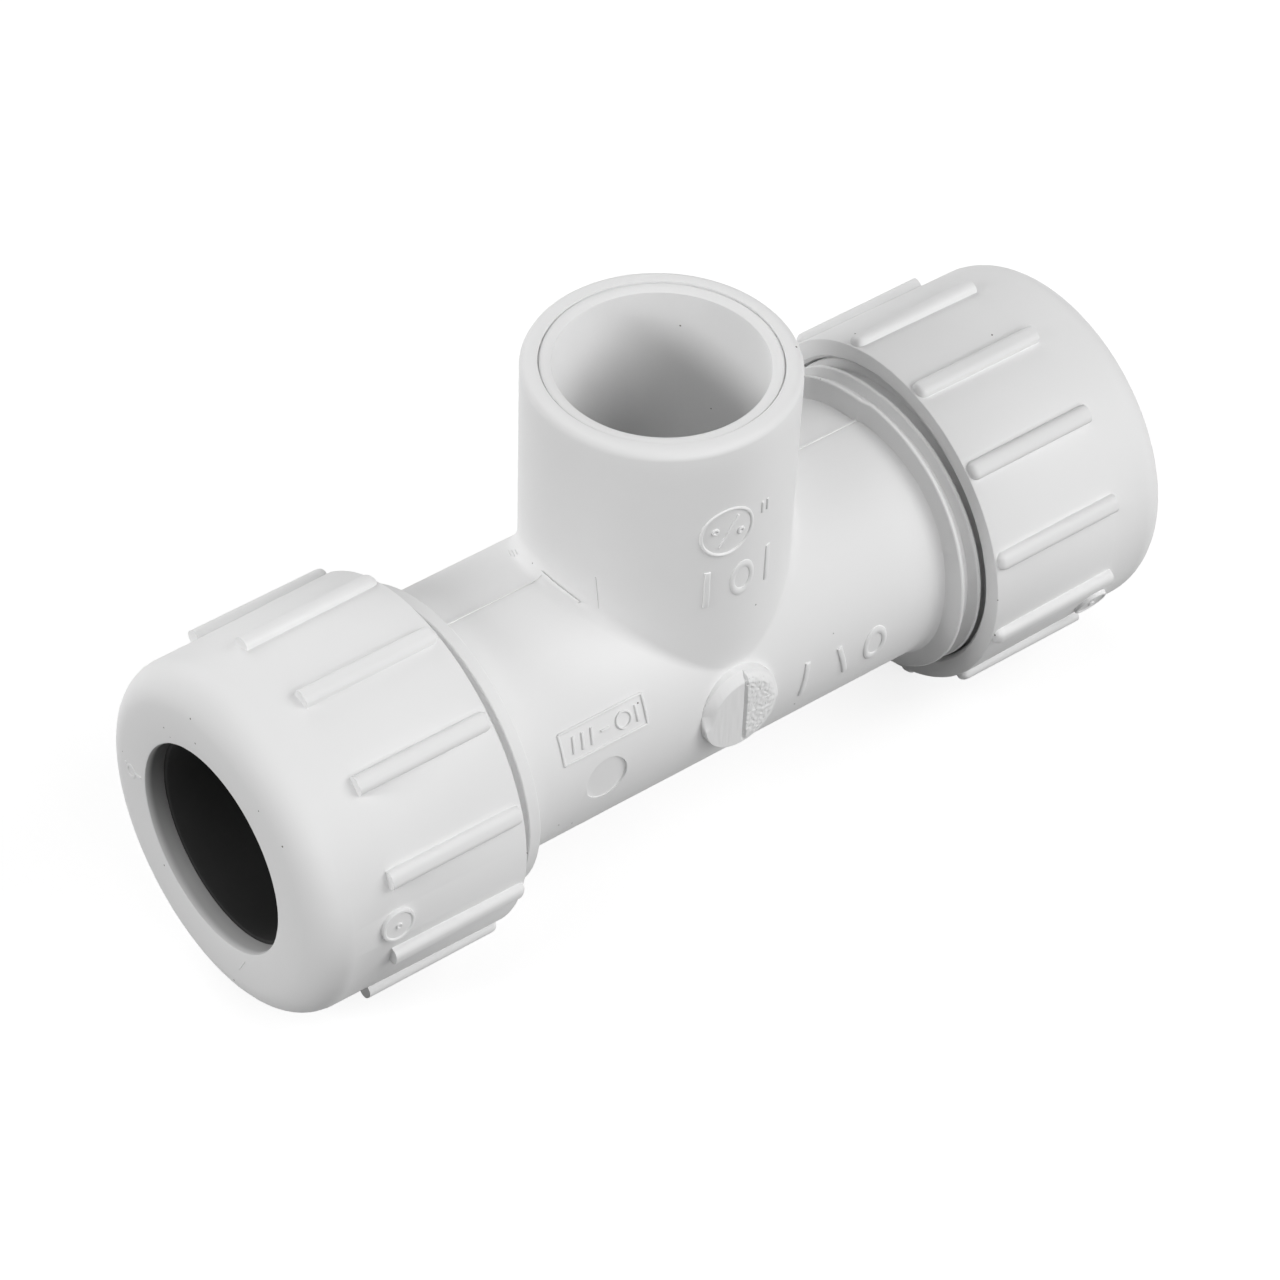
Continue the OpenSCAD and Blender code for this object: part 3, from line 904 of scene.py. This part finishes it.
def mouldedGroup():    # mottling, flow, fine pits and stray specks of a moulded part
    s = surfaceSize
    group = bpy.data.node_groups.new("mouldedSurface", "ShaderNodeTree")
    for way, names in (("INPUT", ("Base", "Mottle", "Specks", "Roughness")),
                       ("OUTPUT", ("Color", "Roughness", "Height"))):
        for name in names:
            kind = "NodeSocketColor" if name in ("Base", "Color") else "NodeSocketFloat"
            group.interface.new_socket(name=name, in_out=way, socket_type=kind)
    given = nodeOf(group, "NodeGroupInput", (-900, 0)).outputs
    place = nodeOf(group, "ShaderNodeTexCoord", (-900, 300)).outputs["Object"]
    cloud = nodeOf(group, "ShaderNodeTexNoise", (-700, 300), place, Scale=s["cloudScale"], Detail=3.0,
                   Roughness=0.55)
    level = mathOf(group, "SUBTRACT", (-500, 300), cloud.outputs["Fac"], 0.5)
    share = mathOf(group, "MULTIPLY", (-320, 300), level, given["Mottle"])
    lift = mathOf(group, "ADD", (-140, 300), share, 1.0)
    tinted = nodeOf(group, "ShaderNodeVectorMath", (40, 300), given["Base"], operation="SCALE")
    group.links.new(lift, tinted.inputs["Scale"])
    cells = nodeOf(group, "ShaderNodeTexVoronoi", (-700, 0), place, Scale=s["speckScale"])
    near = mathOf(group, "LESS_THAN", (-500, 0), cells.outputs["Distance"], s["speckSize"])
    rare = nodeOf(group, "ShaderNodeSeparateColor", (-500, -160), cells.outputs["Color"])
    chosen = mathOf(group, "LESS_THAN", (-320, -160), rare.outputs[0], given["Specks"])
    speck = mathOf(group, "MULTIPLY", (-140, 0), near, chosen)
    colour = mixOf(group, (240, 200), speck, tinted.outputs[0], s["speckColour"])
    grain = nodeOf(group, "ShaderNodeTexNoise", (-700, -400), place, Scale=s["grainScale"], Detail=4.0,
                   Roughness=0.6).outputs["Fac"]
    rough = mathOf(group, "MULTIPLY_ADD", (-320, -400), grain, s["grainRough"], given["Roughness"])
    wave = nodeOf(group, "ShaderNodeTexNoise", (-700, -650), place, Scale=s["waveScale"], Detail=2.0)
    relief = mathOf(group, "MULTIPLY_ADD", (-320, -600), grain, s["grainHeight"], wave.outputs["Fac"])
    nodeOf(group, "NodeGroupOutput", (700, 0), colour, rough, relief)
    return group


moulded = mouldedGroup()
bodyFinish = {
    "colour": 0.80,    # a grey
    "roughness": 0.42,
    "mottle": 0.03,
    "specks": 0.14,    # share of the possible specks
    "relief": 0.10,
    "gloss": 0.12,
}
nutFinish = {**bodyFinish, "roughness": 0.44, "specks": 0.09}
rubberFinish = {"colour": 0.012, "roughness": 0.6, "mottle": 0.2, "specks": 0.0, "relief": 0.4,
                "gloss": 0.3}


def mouldedMaterial(name, finish, paintedShade=None):
    material = bpy.data.materials.new(name)
    material.use_nodes = True
    tree = material.node_tree
    tree.nodes.clear()
    grey = (finish["colour"],) * 3
    surface = nodeOf(tree, "ShaderNodeGroup", (-200, 0), node_tree=moulded)
    for socket, value in (("Base", (*grey, 1)), ("Mottle", finish["mottle"]), ("Specks", finish["specks"]),
                          ("Roughness", finish["roughness"])):
        surface.inputs[socket].default_value = value
    colour = surface.outputs["Color"]
    # painted shade, where one is given, darkens the colour
    if paintedShade:
        colour = paintedShade(tree, colour)
    bump = nodeOf(tree, "ShaderNodeBump", (60, -200), Strength=finish["relief"], Distance=0.0002)
    tree.links.new(surface.outputs["Height"], bump.inputs["Height"])
    shader = nodeOf(tree, "ShaderNodeBsdfPrincipled", (300, 0))
    shader.inputs["Specular IOR Level"].default_value = finish["gloss"]
    tree.links.new(colour, shader.inputs["Base Color"])
    tree.links.new(surface.outputs["Roughness"], shader.inputs["Roughness"])
    tree.links.new(bump.outputs["Normal"], shader.inputs["Normal"])
    nodeOf(tree, "ShaderNodeOutputMaterial", (600, 0), shader.outputs[0])
    return material


# Painted shade inside the nut's pipe hole: a dark colour, deeper in and higher up
holeShadeSize = {
    "colour": (0.02, 0.02, 0.02, 1),
    "reach": (0.2, 1.2),    # depths behind the face between which the painted shade grows
    "atLip": 0.3,
    "heights": (-12, 9),    # the wall's lower part gets the least painted shade
    "shares": (0.42, 0.95),
}


def paintHoleShade(tree, colour):    # painted shade: darkens the wall of the pipe hole, more deeply inside and towards the top
    s = holeShadeSize
    front = nutSize["openEnd"] + nutSize["length"]
    place = nodeOf(tree, "ShaderNodeTexCoord", (-900, 500)).outputs["Object"]
    lowered = nodeOf(tree, "ShaderNodeVectorMath", (-700, 500), place, (0, 0, axisHeight),
                     operation="SUBTRACT").outputs[0]
    across = nodeOf(tree, "ShaderNodeVectorMath", (-500, 600), lowered, (0, 1, 1), operation="MULTIPLY")
    radius = nodeOf(tree, "ShaderNodeVectorMath", (-300, 600), across.outputs[0], operation="LENGTH")
    inside = mathOf(tree, "LESS_THAN", (-100, 600), radius.outputs["Value"],
                    (nutSize["holeRadius"] + 0.1) * mm)
    parts = nodeOf(tree, "ShaderNodeSeparateXYZ", (-500, 400), lowered)
    away = mathOf(tree, "ABSOLUTE", (-300, 400), parts.outputs["X"])
    depth = nodeOf(tree, "ShaderNodeMapRange", (-100, 400), away, *((front - d) * mm for d in s["reach"]),
                   s["atLip"], 1.0, interpolation_type="SMOOTHSTEP")
    height = nodeOf(tree, "ShaderNodeMapRange", (-100, 200), parts.outputs["Z"],
                    *(h * mm for h in s["heights"]), *s["shares"])
    both = mathOf(tree, "MULTIPLY", (0, 300), depth.outputs[0], height.outputs[0])
    share = mathOf(tree, "MULTIPLY", (100, 500), inside, both)
    return mixOf(tree, (260, 400), share, colour, s["colour"])


bodyPlastic = mouldedMaterial("whiteMouldedPvc", bodyFinish)
# the nut's colour carries painted shade inside its pipe hole
nutPlastic = mouldedMaterial("whiteNutPvc", nutFinish, paintHoleShade)
blackRubber = mouldedMaterial("blackGasketRubber", rubberFinish)


def finishPiece(piece, material, body, node):
    piece.data.materials.clear()
    piece.data.materials.append(material)
    for polygon in piece.data.polygons:
        polygon.material_index = 0
    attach(piece, body)
    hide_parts(node)


finishPiece(buildBody(), bodyPlastic, "body", "tee_body")
for side, end in (("left", -1), ("right", 1)):
    nutNode, gasketNode = side + "_nut", side + "_gasket"
    finishPiece(buildNut(side + "Nut", end), nutPlastic, nutNode, nutNode)
    finishPiece(buildGasket(side + "Gasket", end), blackRubber, gasketNode, gasketNode)
print("pieces placed")


# Studio
studio = {
    "azimuth": -39.481,
    "elevation": 43.463,
    "roll": 2.492,
    "distance": 712.38,    # millimetres from the camera to the point it looks at
    "lookAt": (-1.55, 0, -1.65),
    "lens": 36 * 5626.8 / 1280,    # millimetres, on a sensor 36 mm wide
    "floor": 0.2,    # grey of the floor to the light
    "floorGlow": 0.8,    # its white and its grey to the camera
    "floorShade": 0.3,
    "floorSize": 8,    # metres
    "sky": 0.01,
    "lampDistance": 1.2,    # metres
}


def buildCamera():
    s = studio
    camera = bpy.data.objects.new("camera", bpy.data.cameras.new("camera"))
    bpy.context.scene.collection.objects.link(camera)
    turn = (Matrix.Rotation(radians(s["azimuth"]), 4, "Z")
            @ Matrix.Rotation(radians(90 - s["elevation"]), 4, "X")
            @ Matrix.Rotation(radians(s["roll"]), 4, "Z"))
    back = turn @ Vector((0, 0, 1))
    camera.matrix_world = Matrix.Translation(fromCrossing(*s["lookAt"]) + back * s["distance"] * mm) @ turn
    camera.data.lens = s["lens"]
    camera.data.sensor_width = 36
    camera.data.clip_start = 0.01
    camera.data.clip_end = 20
    bpy.context.scene.camera = camera


def seenWhite(tree, plain, white):    # white to the camera and in reflections, plain to all other light
    path = nodeOf(tree, "ShaderNodeLightPath", (-600, 300)).outputs
    seen = path["Is Camera Ray"]
    for name in ("Is Glossy Ray", "Is Transmission Ray"):
        seen = mathOf(tree, "MAXIMUM", (-400, 300), seen, path[name])
    return nodeOf(tree, "ShaderNodeMixShader", (100, 0), seen, plain, white).outputs[0]


def buildWorld():
    world = bpy.data.worlds.new("studioWorld")
    bpy.context.scene.world = world
    world.use_nodes = True
    tree = world.node_tree
    tree.nodes.clear()
    plain, white = (nodeOf(tree, "ShaderNodeBackground", (-200, 0), (1, 1, 1, 1), strength).outputs[0]
                    for strength in (studio["sky"], 1.0))
    nodeOf(tree, "ShaderNodeOutputWorld", (300, 0), seenWhite(tree, plain, white))


def buildFloor():
    s = studio
    bpy.ops.object.select_all(action="DESELECT")
    bpy.ops.mesh.primitive_plane_add(size=s["floorSize"])
    floorPiece = bpy.context.object
    floorPiece.name = "floor"
    material = bpy.data.materials.new("paleFloor")
    material.use_nodes = True
    tree = material.node_tree
    tree.nodes.clear()
    plain, shade = (nodeOf(tree, "ShaderNodeBsdfDiffuse", (-300, 0), (grey, grey, grey, 1)).outputs[0]
                    for grey in (s["floor"], s["floorShade"]))
    glow = nodeOf(tree, "ShaderNodeEmission", (-300, -200), (1, 1, 1, 1), s["floorGlow"]).outputs[0]
    both = nodeOf(tree, "ShaderNodeAddShader", (-100, -100), glow, shade).outputs[0]
    nodeOf(tree, "ShaderNodeOutputMaterial", (400, 0), seenWhite(tree, plain, both))
    floorPiece.data.materials.append(material)


lamps = {    # azimuth and elevation of each soft light, its size and power
    "left": (-98, 24, 0.4, 6.6),
    "upperLeft": (-75, 52, 0.4, 1.6),
    "front": (0, 22, 0.9, 5.2),
    "right": (45, 38, 0.9, 9.2),
    "back": (178, 24, 0.9, 7.8),
}


def buildLamps():
    for name, (azimuth, elevation, size, power) in lamps.items():
        a, e = radians(azimuth), radians(elevation)
        back = Vector((sin(a) * cos(e), -cos(a) * cos(e), sin(e)))
        lamp = bpy.data.objects.new(name, bpy.data.lights.new(name, "AREA"))
        bpy.context.scene.collection.objects.link(lamp)
        lamp.data.shape = "DISK"
        lamp.data.size = size
        lamp.data.energy = power
        lamp.location = fromCrossing(0, 0, 0) + back * studio["lampDistance"]
        lamp.rotation_euler = back.to_track_quat("Z", "Y").to_euler()


buildCamera()
buildWorld()
buildFloor()
buildLamps()
bpy.context.scene.view_settings.view_transform = "Standard"
print("studio set")
